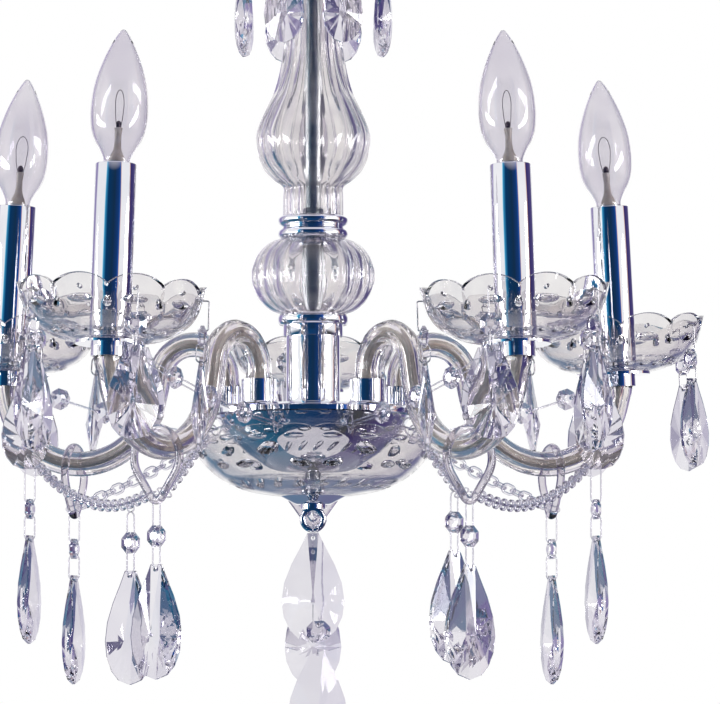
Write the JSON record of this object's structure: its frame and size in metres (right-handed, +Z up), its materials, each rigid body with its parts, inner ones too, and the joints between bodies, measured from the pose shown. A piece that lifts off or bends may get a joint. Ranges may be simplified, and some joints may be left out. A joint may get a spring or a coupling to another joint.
{
  "type": "five-arm crystal chandelier",
  "caption": "Crystal chandelier that hangs from a ceiling on a chain: glass arms on a chrome hub, scalloped drip dishes, chrome candle sleeves with flame bulbs, and faceted drops.",
  "frame": {"origin": "centre of the two ceiling screw holes on the crossbar's top face, which lies on the ceiling", "axes": "+Z up to the ceiling, along the column; +X to the viewer's right in the picture, -Y towards the viewer"},
  "size_m": [0.5114, 0.4991, 0.7171],
  "materials": {
    "polished_chrome": "mirror polished chrome plate",
    "zinc_steel": "zinc plated steel",
    "pin_wire": "bright drawn wire",
    "cut_glass": "pressed and cut clear glass",
    "clear_crystal": "cut and polished clear crystal",
    "bulb_glass": "thin clear bulb glass",
    "clear_plastic": "clear moulded acrylic",
    "lamp_wire": "translucent brown wire insulation",
    "holder_plastic": "black moulded lamp holder"
  },
  "bodies": {
    "ceiling_mount": {"ceiling_canopy": "polished_chrome", "canopy_crossbar": "zinc_steel", "canopy_loop": "polished_chrome", "stem_nut": "zinc_steel"},
    "chain": {"hanging_chain": "polished_chrome"},
    "fixture": {"top_loop": "polished_chrome", "center_rod": "zinc_steel", "rod_nuts": "zinc_steel", "top_cap": "polished_chrome", "upper_collar": "polished_chrome", "lower_collar": "polished_chrome", "hub_column": "polished_chrome", "glass_ball": "cut_glass", "glass_vase": "cut_glass", "crown_dish": "cut_glass", "hub_plate": "polished_chrome", "main_dish": "cut_glass", "bottom_cap": "polished_chrome", "finial_ring": "polished_chrome", "arm_cups": "polished_chrome", "glass_arm_1": "cut_glass", "glass_arm_2": "cut_glass", "glass_arm_3": "cut_glass", "glass_arm_4": "cut_glass", "glass_arm_5": "cut_glass", "arm_wires": "lamp_wire", "arm_end_caps": "polished_chrome", "lamp_holders": "holder_plastic", "bobeche_1": "cut_glass", "candle_sleeve_1": "polished_chrome", "bobeche_2": "cut_glass", "candle_sleeve_2": "polished_chrome", "bobeche_3": "cut_glass", "candle_sleeve_3": "polished_chrome", "bobeche_4": "cut_glass", "candle_sleeve_4": "polished_chrome", "bobeche_5": "cut_glass", "candle_sleeve_5": "polished_chrome", "bobeche_drops": "clear_crystal", "crown_drops": "clear_crystal", "rim_pins": "pin_wire", "garlands": "clear_crystal", "arm_hooks": "clear_plastic"},
    "centre_string": {"centre_drops": "clear_crystal"},
    "bulb_1": {"bulb_1": "bulb_glass"},
    "bulb_2": {"bulb_2": "bulb_glass"},
    "bulb_3": {"bulb_3": "bulb_glass"},
    "bulb_4": {"bulb_4": "bulb_glass"},
    "bulb_5": {"bulb_5": "bulb_glass"},
    "arm_pendant_1": {"arm_pendant_1": "clear_crystal"},
    "arm_pendant_2": {"arm_pendant_2": "clear_crystal"},
    "arm_pendant_3": {"arm_pendant_3": "clear_crystal"},
    "arm_pendant_4": {"arm_pendant_4": "clear_crystal"},
    "arm_pendant_5": {"arm_pendant_5": "clear_crystal"},
    "outer_pendant_1": {"outer_pendant_1": "clear_crystal"},
    "outer_pendant_2": {"outer_pendant_2": "clear_crystal"},
    "outer_pendant_3": {"outer_pendant_3": "clear_crystal"},
    "outer_pendant_4": {"outer_pendant_4": "clear_crystal"},
    "outer_pendant_5": {"outer_pendant_5": "clear_crystal"}
  },
  "joints": [
    {"name": "sway_fore_aft", "type": "hinge", "parent": "ceiling_mount", "child": "chain", "pos_m": [0, 0, -0.06], "axis": [1, 0, 0], "range_deg": [-12, 12]},
    {"name": "sway_sideways", "type": "hinge", "parent": "chain", "child": "fixture", "pos_m": [0, 0, -0.1666], "axis": [0, 1, 0], "range_deg": [-12, 12]},
    {"name": "centre_string_swing", "type": "hinge", "parent": "fixture", "child": "centre_string", "pos_m": [0, 0, -0.5717], "axis": [1, 0, 0], "range_deg": [-10, 10]},
    {"name": "bulb_1_turn", "type": "hinge", "parent": "fixture", "child": "bulb_1", "pos_m": [-0.12023, -0.16548, -0.38334], "axis": [0.0461, 0.0635, 0.9969], "range_deg": [0, 720]},
    {"name": "arm_pendant_1_swing", "type": "hinge", "parent": "fixture", "child": "arm_pendant_1", "pos_m": [-0.09522, -0.13106, -0.5601], "axis": [0.809, -0.5878, 0], "range_deg": [-3, 3]},
    {"name": "outer_pendant_1_swing", "type": "hinge", "parent": "fixture", "child": "outer_pendant_1", "pos_m": [-0.11207, -0.09977, -0.56285], "axis": [-0.4254, 0.905, 0], "range_deg": [-3, 3]},
    {"name": "bulb_2_turn", "type": "hinge", "parent": "fixture", "child": "bulb_2", "pos_m": [0.12023, -0.16548, -0.38334], "axis": [-0.0461, 0.0635, 0.9969], "range_deg": [0, 720]},
    {"name": "arm_pendant_2_swing", "type": "hinge", "parent": "fixture", "child": "arm_pendant_2", "pos_m": [0.09522, -0.13106, -0.5601], "axis": [0.809, 0.5878, 0], "range_deg": [-3, 3]},
    {"name": "outer_pendant_2_swing", "type": "hinge", "parent": "fixture", "child": "outer_pendant_2", "pos_m": [0.08646, -0.11494, -0.55082], "axis": [-0.2852, 0.9585, 0], "range_deg": [-3, 3]},
    {"name": "bulb_3_turn", "type": "hinge", "parent": "fixture", "child": "bulb_3", "pos_m": [0.19454, 0.06321, -0.38334], "axis": [-0.0746, -0.0242, 0.9969], "range_deg": [0, 720]},
    {"name": "arm_pendant_3_swing", "type": "hinge", "parent": "fixture", "child": "arm_pendant_3", "pos_m": [0.15407, 0.05006, -0.5601], "axis": [-0.309, 0.9511, 0], "range_deg": [-6, 6]},
    {"name": "outer_pendant_3_swing", "type": "hinge", "parent": "fixture", "child": "outer_pendant_3", "pos_m": [0.18343, 0.0596, -0.52889], "axis": [-0.309, 0.9511, 0], "range_deg": [-6, 6]},
    {"name": "bulb_4_turn", "type": "hinge", "parent": "fixture", "child": "bulb_4", "pos_m": [0, 0.20455, -0.38334], "axis": [0, -0.0785, 0.9969], "range_deg": [0, 720]},
    {"name": "arm_pendant_4_swing", "type": "hinge", "parent": "fixture", "child": "arm_pendant_4", "pos_m": [0, 0.162, -0.5601], "axis": [-1, 0, 0], "range_deg": [-6, 6]},
    {"name": "outer_pendant_4_swing", "type": "hinge", "parent": "fixture", "child": "outer_pendant_4", "pos_m": [0, 0.19287, -0.52889], "axis": [-1, 0, 0], "range_deg": [-6, 6]},
    {"name": "bulb_5_turn", "type": "hinge", "parent": "fixture", "child": "bulb_5", "pos_m": [-0.19454, 0.06321, -0.38334], "axis": [0.0746, -0.0242, 0.9969], "range_deg": [0, 720]},
    {"name": "arm_pendant_5_swing", "type": "hinge", "parent": "fixture", "child": "arm_pendant_5", "pos_m": [-0.15407, 0.05006, -0.5601], "axis": [-0.309, -0.9511, 0], "range_deg": [-6, 6]},
    {"name": "outer_pendant_5_swing", "type": "hinge", "parent": "fixture", "child": "outer_pendant_5", "pos_m": [-0.18343, 0.0596, -0.52889], "axis": [-0.309, -0.9511, 0], "range_deg": [-6, 6]}
  ]
}
